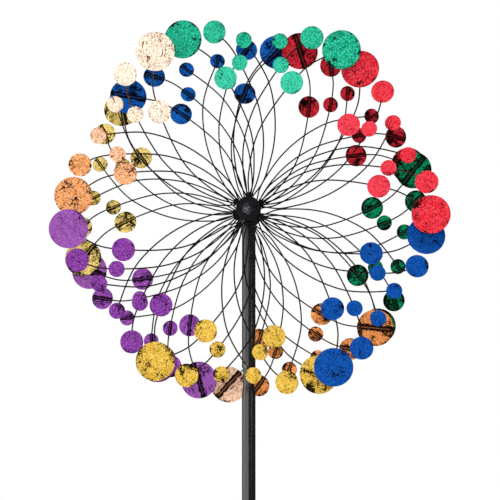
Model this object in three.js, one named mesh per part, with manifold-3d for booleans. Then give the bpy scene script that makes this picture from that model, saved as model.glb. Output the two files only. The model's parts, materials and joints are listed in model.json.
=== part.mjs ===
// Two-wheel garden wind spinner: a sectional steel pole on a three-prong ground stake, with a
// horizontal axle through its head and two wheels of six painted arms that turn in opposite ways.
// Millimetres, +Z up. The origin is on the pole's axis at the soil line. The axle lies along Y
// and the front wheel is on the -Y side.

import * as THREE from 'three';
import { mergeVertices } from 'three/addons/utils/BufferGeometryUtils.js';
import Module from 'manifold-3d';

const wasm = await Module();
wasm.setup();

// ---------------------------------------------------------------- driving dimensions

const GAP = 0.3; // left between pieces that touch
const HUB_HEIGHT = 1370; // axle above the soil line

const POLE_R = 10.6;
const POLE_WALL = 1.4;
const NECK_R = POLE_R - POLE_WALL - GAP; // swaged top end of a section, which enters the next one
const NECK_WALL = 1.4;
const NECK_SHOWN = 30; // stretch of neck left bare under the next section
const NECK_IN = 45; // stretch of neck inside the next section
const SHOULDER = 5; // length of the taper from tube to neck
const UPPER_POLE_BOTTOM = HUB_HEIGHT - 243;
const MIDDLE_POLE_BOTTOM = 570;
const JOINT_SCREW_UP = 4; // height of a joint's screw above the end of the upper tube

const PRONG_LENGTH = 230;
const STEP_BAR = { length: 130, width: 24, thickness: 6 };
const STOP_COLLAR_TOP = 16;
const STAKE_POST_TOP = 95;
const SIDE_PRONG_X = 50;

const AXLE_R = 5;
const BORE_R = AXLE_R + GAP;
const NUT_FLATS = 17; // across the flats of every nut on the axle
const NUT_THICKNESS = 5;
const BARREL_R = 11;

// Places along the axle, measured from the pole's axis outwards to either wheel.
const BARREL_END = 29;
const JAM_NUT = BARREL_END + GAP;
const INNER_WASHER = JAM_NUT + NUT_THICKNESS + GAP;
const INNER_BEARING = INNER_WASHER + 1.5 + GAP;
const OUTER_BEARING = INNER_BEARING + 9.6;
const BEARING_WIDTH = 6;
const BEARING_R = 11;
const HUB_BACK = INNER_BEARING + 0.5;
const HUB_FACE = 50;
const TAB_BACK = HUB_FACE + GAP;
const OUTER_WASHER = OUTER_BEARING + BEARING_WIDTH + GAP;
const LOCK_NUT = OUTER_WASHER + 1.3 + GAP;
const CAP_PLATE = LOCK_NUT + NUT_THICKNESS + GAP;
const CAP_THICKNESS = 1.5;
const CAP_NUT = CAP_PLATE + CAP_THICKNESS + GAP;
const AXLE_END = CAP_NUT + 5;

const HUB_R = 18;
const CAP_R = 19.2;
const CAP_RIM = 53.4; // the cap's open edge, clear of the turning arms

const TAB = { width: 9, thickness: 2, inner: 12.3, bend: 22, outer: 26.5 };
const ARM_SCREW_AT = 14.6;
const SCREW_R = 1.5;
const SCREW_HOLE_R = SCREW_R + GAP;
const ARM_SCREW_HEAD = { radius: 2.6, height: 1.8 };
const POLE_SCREW_HEAD = { radius: 3.2, height: 2.2 };

const PITCH = 10; // degrees, the twist of each arm about its own radius
const DISH = 7; // degrees, how far the arms lean out from the pole

const WIRE_R = 1.1;
const WIRE_START = 20;
const DISC_THICKNESS = 1.2;
const WELD = 0.5; // how deep welded pieces sink into each other
const LARGE_R = 29.5;
const MEDIUM_R = 17.6;
const SMALL_R = 12.3;

// Half of an arm's layout, as [across, out along the radius]. The other half is its mirror image.
const DISCS = {
	large: { at: [126.7, 244.2], radius: LARGE_R, sides: 16, wire: 'long' },
	outerMedium: { at: [78.7, 260.6], radius: MEDIUM_R, sides: 12, wire: 'middle' },
	outerSmall: { at: [26.7, 254.5], radius: SMALL_R, sides: 12, wire: 'short' },
	innerSmall: { at: [34.3, 218.2], radius: SMALL_R, sides: 12, wire: 'middle' },
	innerMedium: { at: [53.9, 192.5], radius: MEDIUM_R, sides: 12, wire: 'long' },
};

// Each wire leaves the tab on the far side of the arm's centre line and curves back over it. It
// runs on past the centre of its last disc and ends short of the rim.
const WIRES = {
	long: [[0, WIRE_START], [-3.5, 43], [-2.5, 70], [0.5, 94], [8.5, 121], [24.5, 151],
		DISCS.innerMedium.at, [80, 220], DISCS.large.at, [148, 255]],
	middle: [[-2.3, WIRE_START], [-9.5, 43], [-14, 70], [-14.8, 97], [-10.5, 126], [0.5, 160.5],
		DISCS.innerSmall.at, [55, 243.5], DISCS.outerMedium.at, [90.5, 269]],
	short: [[-4.6, WIRE_START], [-18.5, 42], [-25.5, 66], [-31, 97], [-31.5, 128], [-26, 165],
		[-16, 195], [0, 221], DISCS.outerSmall.at, [33, 262.5]],
};
const WIRE_STEPS = 10;

// Sides of the round pieces. The arms are most of the object, so the rest stays light.
const POLE_SIDES = 16;
const HUB_SIDES = 20;
const AXLE_SIDES = 12;
const SCREW_SIDES = 8;

// Where each arm points, in degrees clockwise from straight up, seen from the wheel's own face.
// They are set by hand on their screws, so they are a few degrees off an even 60. Their wires are
// bent by hand too: left and right give how far that half's wires carry their discs across and
// out of place, at RING_R from the hub.
const RING_R = 250;
const STRAIGHT = bends([0, 0]);
const FRONT_ARMS = {
	green: { angle: 4.5, left: bends([-4, 8], [-4, 5], [1, 2]), right: bends([-3, 7], [-1, 5], [2, 3]) },
	red: { angle: 65.5, right: bends([1, 4], [1, 2], [3, 0]) },
	blue: { angle: 125.5, left: bends([-1, -1]), right: bends([-2, 4]) },
	gold: { angle: 184, left: bends([-1, -1]), right: bends([-3, 2]) },
	purple: { angle: 237, left: bends([-3, -2]), right: bends([-7, 5], [-5, 2], [-1, -1]) },
	copper: { angle: 301, left: bends([-4, -6], [-2, -6], [-3, -1]), right: bends([4, 1], [-1, 5], [4, 1]) },
};
const REAR_ARMS = {
	green: { angle: 257.5, left: bends([2, 1], [3, 0], [0, -1]), right: bends([3, -4]) },
	red: { angle: 315, left: bends([-2, 4]), right: bends([5, 1], [1, 5], [2, 1]) },
	blue: { angle: 17.5, left: bends([1, 6]), right: bends([2, -3], [0, 2], [-2, 6]) },
	gold: { angle: 77.5, left: bends([5, 2]), right: bends([-2, -1]) },
	purple: { angle: 136.5, left: bends([4, 1]), right: bends([-3, 0]) },
	copper: { angle: 200.5, left: bends([1, 1], [3, 2], [-1, 0]), right: bends([0, -7], [-1, -4], [-3, -2]) },
};

// Half an arm's bends, as [across, out] of each wire. One bend alone is that of all three.
function bends(long, middle = long, short = long) {
	return { long, middle, short };
}

// ---------------------------------------------------------------- materials

const finish = (color, roughness, metalness) => new THREE.MeshStandardMaterial({ color, roughness, metalness });

const POWDER_COAT = finish('#25252a', 0.45, 0.3);
const BLACK_CAP = finish('#1d1b1e', 0.5, 0.1);
const HUB_PAINT = finish('#202024', 0.5, 0.2);
const BLACK_STEEL = finish('#2b2b2e', 0.4, 0.8);
const ZINC = finish('#b4b4b0', 0.35, 1.0);
const BEARING_STEEL = finish('#c4c6c8', 0.25, 1.0);
const ARM_PAINT = {
	green: finish('#13a985', 0.35, 0.6),
	red: finish('#e2323f', 0.35, 0.6),
	blue: finish('#1159a4', 0.35, 0.6),
	gold: finish('#ddb03e', 0.35, 0.6),
	purple: finish('#8d3b98', 0.35, 0.6),
	copper: finish('#d67f49', 0.35, 0.6),
};

// ---------------------------------------------------------------- solids

function signedVolume(position, index) {
	const a = new THREE.Vector3();
	const b = new THREE.Vector3();
	const c = new THREE.Vector3();
	let six = 0;
	for (let i = 0; i < index.length; i += 3) {
		a.fromBufferAttribute(position, index[i]);
		b.fromBufferAttribute(position, index[i + 1]);
		c.fromBufferAttribute(position, index[i + 2]);
		six += a.dot(b.cross(c));
	}
	return six;
}

// A closed three.js geometry as a solid, with its faces turned outwards.
function solid(geometry) {
	const bare = geometry.clone();
	bare.deleteAttribute('normal');
	bare.deleteAttribute('uv');
	const merged = mergeVertices(bare);
	const corners = merged.index.array;
	const triangles = [];
	for (let i = 0; i < corners.length; i += 3) {
		const [a, b, c] = corners.slice(i, i + 3);
		if (a !== b && b !== c && c !== a) triangles.push(a, b, c);
	}
	const position = merged.attributes.position;
	if (signedVolume(position, triangles) < 0) triangles.reverse();
	return new wasm.Manifold(new wasm.Mesh({
		numProp: 3,
		vertProperties: new Float32Array(position.array),
		triVerts: new Uint32Array(triangles),
	}));
}

const joined = (solids) => solids.reduce((whole, next) => whole.add(next));
const cutBy = (body, tools) => tools.reduce((rest, tool) => rest.subtract(tool), body);

function piece(name, body, material) {
	const mesh = body.getMesh();
	const geometry = new THREE.BufferGeometry();
	geometry.setAttribute('position', new THREE.BufferAttribute(new Float32Array(mesh.vertProperties), 3));
	geometry.setIndex(new THREE.BufferAttribute(new Uint32Array(mesh.triVerts), 1));
	geometry.computeVertexNormals();
	const result = new THREE.Mesh(geometry, material);
	result.name = name;
	return result;
}

// A profile of [radius, height] points turned about Z. It ends on the axis or closes on itself.
function turned(profile, segments) {
	const points = profile.map(([radius, height]) => new THREE.Vector2(radius, height));
	return solid(new THREE.LatheGeometry(points, segments).rotateX(Math.PI / 2));
}

// The same about the axle, with each height measured outwards from the pole to the wheel's face.
function turnedOnAxle(profile, segments) {
	const points = profile.map(([radius, out]) => new THREE.Vector2(radius, -out));
	return solid(new THREE.LatheGeometry(points, segments));
}

function ringProfile(inner, outer, from, to) {
	return [[inner, from], [outer, from], [outer, to], [inner, to], [inner, from]];
}

// A pin along the axle's direction at a place across the wheel.
function axlePin(radius, from, to, across, up) {
	const pin = new THREE.CylinderGeometry(radius, radius, to - from, SCREW_SIDES);
	return solid(pin.translate(across, -(from + to) / 2, up));
}

function hexagon(flats) {
	const corner = flats / 2 / Math.cos(Math.PI / 6);
	const shape = new THREE.Shape();
	for (let i = 0; i < 6; i += 1) {
		const angle = (i * Math.PI) / 3;
		const move = i === 0 ? 'moveTo' : 'lineTo';
		shape[move](corner * Math.cos(angle), corner * Math.sin(angle));
	}
	return shape;
}

// A hexagonal prism on the axle.
function hexOnAxle(from, thickness) {
	const prism = new THREE.ExtrudeGeometry(hexagon(NUT_FLATS), { depth: thickness, bevelEnabled: false });
	return solid(prism.rotateX(Math.PI / 2).translate(0, -from, 0));
}

function boreOnAxle(from, to) {
	return turnedOnAxle([[0, from], [BORE_R, from], [BORE_R, to], [0, to]], AXLE_SIDES);
}

// ---------------------------------------------------------------- stand

// A cylinder that points out of the pole at a height, towards an azimuth in degrees from the front.
function polePin(radius, from, to, height, azimuth) {
	const pin = new THREE.CylinderGeometry(radius, radius, to - from, SCREW_SIDES);
	pin.translate(0, -(from + to) / 2, 0);
	pin.rotateZ(THREE.MathUtils.degToRad(azimuth));
	return solid(pin.translate(0, 0, height));
}

const POLE_SCREW_TIP = 5.5;

function poleScrewHole(height, azimuth) {
	return polePin(SCREW_HOLE_R, POLE_SCREW_TIP - GAP, POLE_R + 2, height, azimuth);
}

function poleScrew(height, azimuth) {
	const headFrom = POLE_R + GAP;
	const headTo = headFrom + POLE_SCREW_HEAD.height;
	const head = polePin(POLE_SCREW_HEAD.radius, headFrom, headTo, height, azimuth);
	return head.add(polePin(SCREW_R, POLE_SCREW_TIP, headFrom + 1, height, azimuth));
}

// A section of pole with a swaged neck on top, cut by the screw holes of both its ends.
function poleSection(bottom, top, holes) {
	const inner = POLE_R - POLE_WALL;
	const neckTop = top + NECK_SHOWN + NECK_IN;
	const tube = turned([
		[inner, bottom], [POLE_R, bottom], [POLE_R, top - SHOULDER], [NECK_R, top],
		[NECK_R, neckTop], [NECK_R - NECK_WALL, neckTop], [NECK_R - NECK_WALL, top - 2],
		[inner, top - SHOULDER - 2], [inner, bottom],
	], POLE_SIDES);
	return cutBy(tube, holes);
}

function prong(across, radius, length) {
	const shaft = turned([[0, -length], [radius * 0.3, -length], [radius, -length + 35],
		[radius, STEP_BAR.thickness / 2], [0, STEP_BAR.thickness / 2]], SCREW_SIDES);
	return shaft.translate([across, 0, 0]);
}

function groundStake(holes) {
	const bar = new THREE.BoxGeometry(STEP_BAR.length, STEP_BAR.width, STEP_BAR.thickness);
	const post = turned([
		[0, 1], [POLE_R, 1], [POLE_R, STOP_COLLAR_TOP], [NECK_R, STOP_COLLAR_TOP],
		[NECK_R, STAKE_POST_TOP - 3], [NECK_R - 3, STAKE_POST_TOP], [0, STAKE_POST_TOP],
	], POLE_SIDES);
	const welded = joined([
		solid(bar.translate(0, 0, STEP_BAR.thickness / 2)),
		post,
		prong(0, 5, PRONG_LENGTH),
		prong(SIDE_PRONG_X, 4, PRONG_LENGTH - 30),
		prong(-SIDE_PRONG_X, 4, PRONG_LENGTH - 30),
	]);
	return cutBy(welded, holes);
}

// The welded head: a barrel across the pole for the axle, and a spigot down into the upper pole.
const SPIGOT_LENGTH = 75;

function headTee(holes) {
	const barrel = turnedOnAxle([[0, -BARREL_END], [BARREL_R, -BARREL_END], [BARREL_R, BARREL_END],
		[0, BARREL_END]], POLE_SIDES);
	const bottom = HUB_HEIGHT - SPIGOT_LENGTH;
	const spigot = turned([[0, bottom], [NECK_R - 2, bottom], [NECK_R, bottom + 3],
		[NECK_R, HUB_HEIGHT], [0, HUB_HEIGHT]], POLE_SIDES);
	const shape = barrel.translate([0, 0, HUB_HEIGHT]).add(spigot);
	const bore = boreOnAxle(-BARREL_END - 1, BARREL_END + 1).translate([0, 0, HUB_HEIGHT]);
	return cutBy(shape, [bore, ...holes]);
}

function stand() {
	const stakeHole = poleScrewHole(60, 180);
	const lowerHole = poleScrewHole(MIDDLE_POLE_BOTTOM + JOINT_SCREW_UP, -17);
	const upperHole = poleScrewHole(UPPER_POLE_BOTTOM + JOINT_SCREW_UP, -17);
	const headHole = poleScrewHole(HUB_HEIGHT - 45, 180);
	const upperPole = turned(
		ringProfile(POLE_R - POLE_WALL, POLE_R, UPPER_POLE_BOTTOM, HUB_HEIGHT - BARREL_R - 2),
		POLE_SIDES,
	);
	const group = new THREE.Group();
	group.add(
		piece('ground_stake', groundStake([stakeHole]), POWDER_COAT),
		piece('lower_pole', poleSection(STOP_COLLAR_TOP + GAP, MIDDLE_POLE_BOTTOM - NECK_SHOWN,
			[stakeHole, lowerHole]), POWDER_COAT),
		piece('middle_pole', poleSection(MIDDLE_POLE_BOTTOM, UPPER_POLE_BOTTOM - NECK_SHOWN,
			[lowerHole, upperHole]), POWDER_COAT),
		piece('upper_pole', cutBy(upperPole, [upperHole, headHole]), POWDER_COAT),
		piece('head_tee', headTee([headHole]), POWDER_COAT),
		piece('stake_screw', poleScrew(60, 180), ZINC),
		piece('lower_joint_screw', poleScrew(MIDDLE_POLE_BOTTOM + JOINT_SCREW_UP, -17), ZINC),
		piece('upper_joint_screw', poleScrew(UPPER_POLE_BOTTOM + JOINT_SCREW_UP, -17), ZINC),
		piece('head_screw', poleScrew(HUB_HEIGHT - 45, 180), ZINC),
	);
	return group;
}

// ---------------------------------------------------------------- axle and what it clamps

function axle() {
	const tip = AXLE_R - 1;
	return turnedOnAxle([
		[0, -AXLE_END], [tip, -AXLE_END], [AXLE_R, -AXLE_END + 1],
		[AXLE_R, AXLE_END - 1], [tip, AXLE_END], [0, AXLE_END],
	], AXLE_SIDES);
}

function nut(from) {
	return hexOnAxle(from, NUT_THICKNESS).subtract(boreOnAxle(from - 1, from + NUT_THICKNESS + 1));
}

function washer(from, radius, thickness) {
	return turnedOnAxle(ringProfile(BORE_R, radius, from, from + thickness), AXLE_SIDES);
}

// A shallow cup over the arm screws, clamped on the axle between the lock nut and the cap nut.
function cap() {
	const face = CAP_PLATE + CAP_THICKNESS;
	const inside = CAP_R - CAP_THICKNESS;
	return turnedOnAxle([
		[BORE_R, CAP_PLATE], [inside - 2, CAP_PLATE], [inside, CAP_PLATE - 2], [inside, CAP_RIM],
		[CAP_R, CAP_RIM], [CAP_R, face - 2.5], [CAP_R - 2.5, face], [BORE_R, face], [BORE_R, CAP_PLATE],
	], HUB_SIDES);
}

function capNut() {
	const hexTop = CAP_NUT + NUT_THICKNESS;
	const domeR = NUT_FLATS / 2 - 1;
	const dome = [[0, hexTop - 1], [domeR, hexTop - 1]];
	for (let i = 0; i <= 4; i += 1) {
		const angle = (i / 4) * (Math.PI / 2);
		dome.push([domeR * Math.cos(angle), hexTop + domeR * 0.8 * Math.sin(angle)]);
	}
	dome[dome.length - 1][0] = 0;
	const body = hexOnAxle(CAP_NUT, NUT_THICKNESS).add(turnedOnAxle(dome, AXLE_SIDES));
	return body.subtract(boreOnAxle(CAP_NUT - 1, AXLE_END + GAP));
}

// The pieces that stay still on one end of the axle, in the frame of that end's wheel.
function axleEnd(end) {
	const group = new THREE.Group();
	group.add(
		piece(`${end}_jam_nut`, nut(JAM_NUT), BLACK_STEEL),
		piece(`${end}_inner_washer`, washer(INNER_WASHER, 8, 1.5), ZINC),
		piece(`${end}_outer_washer`, washer(OUTER_WASHER, 8, 1.3), ZINC),
		piece(`${end}_lock_nut`, nut(LOCK_NUT), BLACK_STEEL),
		piece(`${end}_cap`, cap(), BLACK_CAP),
		piece(`${end}_cap_nut`, capNut(), BLACK_STEEL),
	);
	return group;
}

// ---------------------------------------------------------------- wheel

function bearing(from) {
	return turnedOnAxle(ringProfile(BORE_R, BEARING_R, from, from + BEARING_WIDTH), POLE_SIDES);
}

function hub(armAngles) {
	const seat = BEARING_R + GAP;
	const ribFrom = INNER_BEARING + BEARING_WIDTH + GAP;
	const ribTo = OUTER_BEARING - GAP;
	const drum = turnedOnAxle([
		[seat, HUB_BACK], [HUB_R - 1.5, HUB_BACK], [HUB_R, HUB_BACK + 1.5], [HUB_R, HUB_FACE],
		[seat, HUB_FACE], [seat, ribTo], [seat - 2, ribTo], [seat - 2, ribFrom], [seat, ribFrom],
		[seat, HUB_BACK],
	], HUB_SIDES);
	const holes = armAngles.map((angle) => {
		const turn = THREE.MathUtils.degToRad(angle);
		const across = ARM_SCREW_AT * Math.sin(turn);
		const up = ARM_SCREW_AT * Math.cos(turn);
		return axlePin(SCREW_HOLE_R, HUB_FACE - 9, HUB_FACE + 1, across, up);
	});
	return cutBy(drum, holes);
}

// A place in one half of an arm after that half's bend, which grows from the hub to the ring.
function bentPlace([across, out], bend, side, depth) {
	const share = (out / RING_R) ** 2;
	return new THREE.Vector3(side * (across + share * bend[0]), depth, out + share * bend[1]);
}

// A round wire as a three-sided bar of the same section area, with a flat to the front, along a
// smooth curve in the arm's plane.
function wire(route, bend, side, depth) {
	const barRadius = WIRE_R * Math.sqrt((4 * Math.PI) / (3 * Math.sqrt(3)));
	const corners = [60, 180, 300].map(THREE.MathUtils.degToRad);
	const section = new THREE.Shape(corners.map((angle) => new THREE.Vector2(
		barRadius * Math.cos(angle),
		barRadius * Math.sin(angle),
	)));
	const points = route.map((at) => bentPlace(at, bend, side, depth));
	const path = new THREE.CatmullRomCurve3(points, false, 'centripetal');
	return solid(new THREE.ExtrudeGeometry(section, {
		steps: WIRE_STEPS, extrudePath: path, bevelEnabled: false,
	}));
}

// A round disc as a polygon of the same area.
function disc({ at, radius, sides }, bend, side, depth) {
	const corner = 2 * Math.PI / sides;
	const reach = radius * Math.sqrt(corner / Math.sin(corner));
	const plate = new THREE.CylinderGeometry(reach, reach, DISC_THICKNESS, sides);
	plate.rotateY(Math.PI / sides);
	const centre = bentPlace(at, bend, side, depth);
	return solid(plate.translate(centre.x, centre.y, centre.z));
}

function tabPlate(from, to) {
	const plate = new THREE.BoxGeometry(TAB.width, TAB.thickness, to - from);
	return plate.translate(0, 0, (from + to) / 2);
}

// One arm, pointing up, before it is screwed on: a bent tab, three wires and five discs on each
// side. The left-hand wires are welded to the tab's back and the right-hand ones to its front, so
// they cross without touching. Every disc is welded to the front of its wire.
function arm(pitch, { left = STRAIGHT, right = STRAIGHT }) {
	const leaning = [solid(tabPlate(TAB.bend - 2, TAB.outer))];
	for (const [side, bent] of [[-1, left], [1, right]]) {
		const wireDepth = -side * (TAB.thickness / 2 + WIRE_R - WELD);
		const discDepth = wireDepth - WIRE_R - DISC_THICKNESS / 2 + WELD;
		for (const [name, route] of Object.entries(WIRES)) {
			leaning.push(wire(route, bent[name], side, wireDepth));
		}
		for (const spec of Object.values(DISCS)) {
			leaning.push(disc(spec, bent[spec.wire], side, discDepth));
		}
	}
	const outer = joined(leaning)
		.translate([0, 0, -TAB.bend])
		.rotate([0, 0, -pitch])
		.rotate([DISH, 0, 0])
		.translate([0, 0, TAB.bend]);
	const foot = solid(tabPlate(TAB.inner, TAB.bend + 1));
	const onHub = -(TAB_BACK + TAB.thickness / 2);
	const hole = axlePin(SCREW_HOLE_R, TAB_BACK - 1, TAB_BACK + TAB.thickness + 1, 0, ARM_SCREW_AT);
	return foot.add(outer).translate([0, onHub, 0]).subtract(hole);
}

function armScrew() {
	const headFrom = TAB_BACK + TAB.thickness + GAP;
	const head = axlePin(ARM_SCREW_HEAD.radius, headFrom, headFrom + ARM_SCREW_HEAD.height, 0, ARM_SCREW_AT);
	return head.add(axlePin(SCREW_R, HUB_FACE - 7, headFrom + 1, 0, ARM_SCREW_AT));
}

// A wheel in its own frame, with its face towards -Y. Opposite pitches turn opposite ways.
function wheel(end, arms, pitch) {
	const group = new THREE.Group();
	group.add(
		piece(`${end}_hub`, hub(Object.values(arms).map(({ angle }) => angle)), HUB_PAINT),
		piece(`${end}_inner_bearing`, bearing(INNER_BEARING), BEARING_STEEL),
		piece(`${end}_outer_bearing`, bearing(OUTER_BEARING), BEARING_STEEL),
	);
	const screwBody = armScrew();
	for (const [paint, setting] of Object.entries(arms)) {
		const spoke = new THREE.Group();
		spoke.rotation.y = THREE.MathUtils.degToRad(setting.angle);
		spoke.add(
			piece(`${end}_arm_${paint}`, arm(pitch, setting), ARM_PAINT[paint]),
			piece(`${end}_arm_screw_${paint}`, screwBody, ZINC),
		);
		group.add(spoke);
	}
	return group;
}

// ---------------------------------------------------------------- the whole spinner

function windSpinner() {
	const head = new THREE.Group();
	head.position.z = HUB_HEIGHT;
	const front = new THREE.Group();
	front.add(axleEnd('front'), wheel('front', FRONT_ARMS, PITCH));
	const rear = new THREE.Group();
	rear.rotation.z = Math.PI;
	rear.add(axleEnd('rear'), wheel('rear', REAR_ARMS, -PITCH));
	head.add(piece('axle', axle(), BLACK_STEEL), front, rear);

	const whole = new THREE.Group();
	whole.add(stand(), head);
	return whole;
}

export default windSpinner();
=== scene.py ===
import json
import random
from math import cos, inf, pi, radians, sin, sqrt, tan

import bmesh
import bpy
from mathutils import Matrix, Vector, noise


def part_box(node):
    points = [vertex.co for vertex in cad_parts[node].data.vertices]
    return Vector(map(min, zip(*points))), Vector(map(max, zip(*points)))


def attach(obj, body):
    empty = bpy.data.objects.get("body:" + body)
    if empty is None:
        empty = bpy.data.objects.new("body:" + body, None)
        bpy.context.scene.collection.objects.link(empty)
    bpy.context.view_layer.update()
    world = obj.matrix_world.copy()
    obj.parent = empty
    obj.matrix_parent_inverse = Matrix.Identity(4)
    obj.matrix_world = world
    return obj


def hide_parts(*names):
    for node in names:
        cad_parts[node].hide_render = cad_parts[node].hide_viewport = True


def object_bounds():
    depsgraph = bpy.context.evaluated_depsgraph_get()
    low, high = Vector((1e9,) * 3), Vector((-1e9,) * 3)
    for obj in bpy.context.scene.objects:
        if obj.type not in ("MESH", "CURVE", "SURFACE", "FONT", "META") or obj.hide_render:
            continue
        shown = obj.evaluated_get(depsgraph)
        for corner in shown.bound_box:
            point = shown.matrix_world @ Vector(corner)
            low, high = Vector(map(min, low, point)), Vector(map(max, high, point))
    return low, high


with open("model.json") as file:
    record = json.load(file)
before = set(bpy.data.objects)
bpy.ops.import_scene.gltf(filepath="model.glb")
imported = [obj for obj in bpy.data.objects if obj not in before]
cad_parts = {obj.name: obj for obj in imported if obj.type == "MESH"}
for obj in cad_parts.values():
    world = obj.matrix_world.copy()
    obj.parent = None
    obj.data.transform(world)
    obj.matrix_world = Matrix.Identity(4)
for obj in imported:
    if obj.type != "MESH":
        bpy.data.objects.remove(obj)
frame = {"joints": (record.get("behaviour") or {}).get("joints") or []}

# Looks of the two-wheel garden wind spinner. Lengths are in millimetres until a mesh is made. The
# front wheel is on the -Y side, and "outward" is away from the pole along the axle.

cad_box = [list(corner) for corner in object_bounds()]

MM = 0.001
HUB_HEIGHT = frame["joints"][0]["pos_m"][2] / MM
GAP = 0.3  # between neighbouring pieces
TINY = 1e-6

# ---- dimensions, the CAD's where it has them

POLE_R = 10.6
POLE_WALL = 1.4
NECK_R = 8.9
NECK_WALL = 1.4
NECK_LENGTH = 75
SHOULDER = 16  # longer and softer than the CAD's 5
SHOULDER_SHIFT = 6  # keeps its middle where the CAD's is
STEP_BAR = (130, 24, 6)  # length, width, thickness
STOP_COLLAR_TOP = 16
STAKE_POST_TOP = 95
PRONGS = ((0, 5, 230), (-50, 4, 200), (50, 4, 200))  # across, radius, length

BARREL_R = 11
BARREL_END = 29
SPIGOT_LENGTH = 75
AXLE_R = 5
AXLE_TIP_R = 4
AXLE_PITCH, AXLE_THREAD = 1.5, 0.55
AXLE_END = 66
BORE_R = 5.3
NUT_FLATS = 17
NUT_CHAMFER = 0.35
NUT_FACE_R = NUT_FLATS / 2 - NUT_CHAMFER
WASHER_R = 8
BEARING_R = 11
SHIELD = (6.9, 9.3, 0.35)  # inner radius, outer radius, depth
HUB_R = 18
CAP_R = 19.2
CAP_WALL = 1.5
SCREW_R = 1.5
SCREW_PITCH, SCREW_THREAD = 0.7, 0.25
SCREW_HOLE_R = 1.8
SCREW_HOLE_FROM = 5.2  # from the pole's axis
ARM_SCREW_AT = 14.6

POLE_SCREWS = {  # height, and direction in degrees from the front
    "stake_screw": (60, 180),
    "lower_joint_screw": (574, -17),
    "upper_joint_screw": (1131, -17),
    "head_screw": (1325, 180),
}

TAB_WIDTH, TAB_THICKNESS = 9, 2
TAB_INNER, TAB_BEND, TAB_OUTER = 12.3, 22, 26.5  # out from the axle
TAB_DEPTH = -51.3  # the middle of the tab's thickness along Y
PITCH = {"front": 10, "rear": -10}  # degrees, about the arm
DISH = 7  # degrees, out of the wheel's plane
RING_R = 250
WIRE_R = 1.1
WIRE_SIDES, BEAD_SIDES = 12, 10
WELD = 0.5  # how far welded pieces enter each other
WELD_HALF = 1.5  # half the width of a wire's weld
# In millimetres: how far inside a disc's rim the wire's painted highlight is full, and how far past the
# rim the overspray reaches.
WIRE_HIGHLIGHT_EDGE, SPRAY_REACH = 2, 30

DISC_THICKNESS = 1.2
DISC_ROLL, DISC_NOD = 2.0, 0.5  # degrees, at most, either way
DISC_UNEVEN, DISC_DOME = 0.22, 0.3
DISC_ROWS = (0, 0.2, 0.4, 0.6, 0.8, 0.93)  # shares of the radius
DISC_EDGE = ((0.3, 0.0), (0.08, 0.1), (0.0, 0.35))  # in from the rim, in from the face
# Painted highlight: how strongly each disc of the front green and red arms is painted lighter, and on
# the front copper arm a cream painted highlight, strongest in the arm's middle and fading across it.
HIGHLIGHTED_DISCS = {"large": 0.05, "outer_medium": 0.25, "outer_small": 0.05, "inner_small": 0.5,
              "inner_medium": 0.7}
COPPER_HIGHLIGHT, COPPER_HIGHLIGHT_FADE = 0.62, 110  # in the arm's middle, and how far across it fades
FILLET_SHARE, FILLET_HALF, FILLET_HEIGHT = 0.72, 1.75, 0.75

PLATE_EDGE = ((None, 0.0), (0.35, 0.0), (0, 0.35))  # in from the outline, in from the face
TAB_TAPER = (  # out from the axle, share of the width, share of the arm's lean
    (19, 1, 0), (20.4, 1, 0), (21.2, 1, 0.15), (22, 1, 0.5), (22.8, 0.98, 0.85), (23.6, 0.93, 1),
    (TAB_OUTER - 1.9, 0.84, 1), (TAB_OUTER - 1, 0.68, 1), (TAB_OUTER - 0.35, 0.48, 1),
    (TAB_OUTER, 0.25, 1))

DISCS = {  # half of an arm: across, out, radius
    "large": (126.7, 244.2, 29.3),
    "outer_medium": (78.7, 260.6, 17.6),
    "outer_small": (26.7, 254.5, 12.3),
    "inner_small": (34.3, 218.2, 12.3),
    "inner_medium": (53.9, 192.5, 17.6),
}
WIRES = {  # the points before, between and after the discs that each wire carries
    "long": ((0, 20), (-3.5, 43), (-2.5, 70), (0.5, 94), (8.5, 121), (24.5, 151), "inner_medium",
             (80, 220), "large", (148, 255)),
    "middle": ((-2.3, 20), (-9.5, 43), (-14, 70), (-14.8, 97), (-10.5, 126), (0.5, 160.5),
               "inner_small", (55, 243.5), "outer_medium", (90.5, 269)),
    "short": ((-4.6, 20), (-18.5, 42), (-25.5, 66), (-31, 97), (-31.5, 128), (-26, 165), (-16, 195),
              (0, 221), "outer_small", (33, 262.5)),
}


def bends(long, middle=None, short=None):
    """How far each wire of half an arm is bent across and out. One bend alone is that of all three."""
    return {"long": long, "middle": middle or long, "short": short or long}


STRAIGHT = bends((0, 0))
# Each arm's direction in degrees clockwise from up, seen from its wheel's face, and the bends of its
# left and right halves.
ARMS = {
    "front": {
        "green": (4.5, bends((-4, 8), (-4, 5), (1, 2)), bends((-3, 7), (-1, 5), (2, 3))),
        "red": (65.5, STRAIGHT, bends((1, 4), (1, 2), (3, 0))),
        "blue": (125.5, bends((-1, -1)), bends((-2, 4))),
        "gold": (184, bends((-1, -1)), bends((-3, 2))),
        "purple": (237, bends((-3, -2)), bends((-7, 5), (-5, 2), (-1, -1))),
        "copper": (301, bends((-4, -6), (-2, -6), (-3, -1)), bends((4, 1), (-1, 5), (4, 1))),
    },
    "rear": {
        "green": (257.5, bends((2, 1), (3, 0), (0, -1)), bends((3, -4))),
        "red": (315, bends((-2, 4)), bends((5, 1), (1, 5), (2, 1))),
        "blue": (17.5, bends((1, 6)), bends((2, -3), (0, 2), (-2, 6))),
        "gold": (77.5, bends((5, 2)), bends((-2, -1))),
        "purple": (136.5, bends((4, 1)), bends((-3, 0))),
        "copper": (200.5, bends((1, 1), (3, 2), (-1, 0)), bends((0, -7), (-1, -4), (-3, -2))),
    },
}

# ---- mesh helpers

FINISH = {}  # the materials, by name
MARKS = ("rim", "back", "band", "painted_highlight", "tint")


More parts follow.
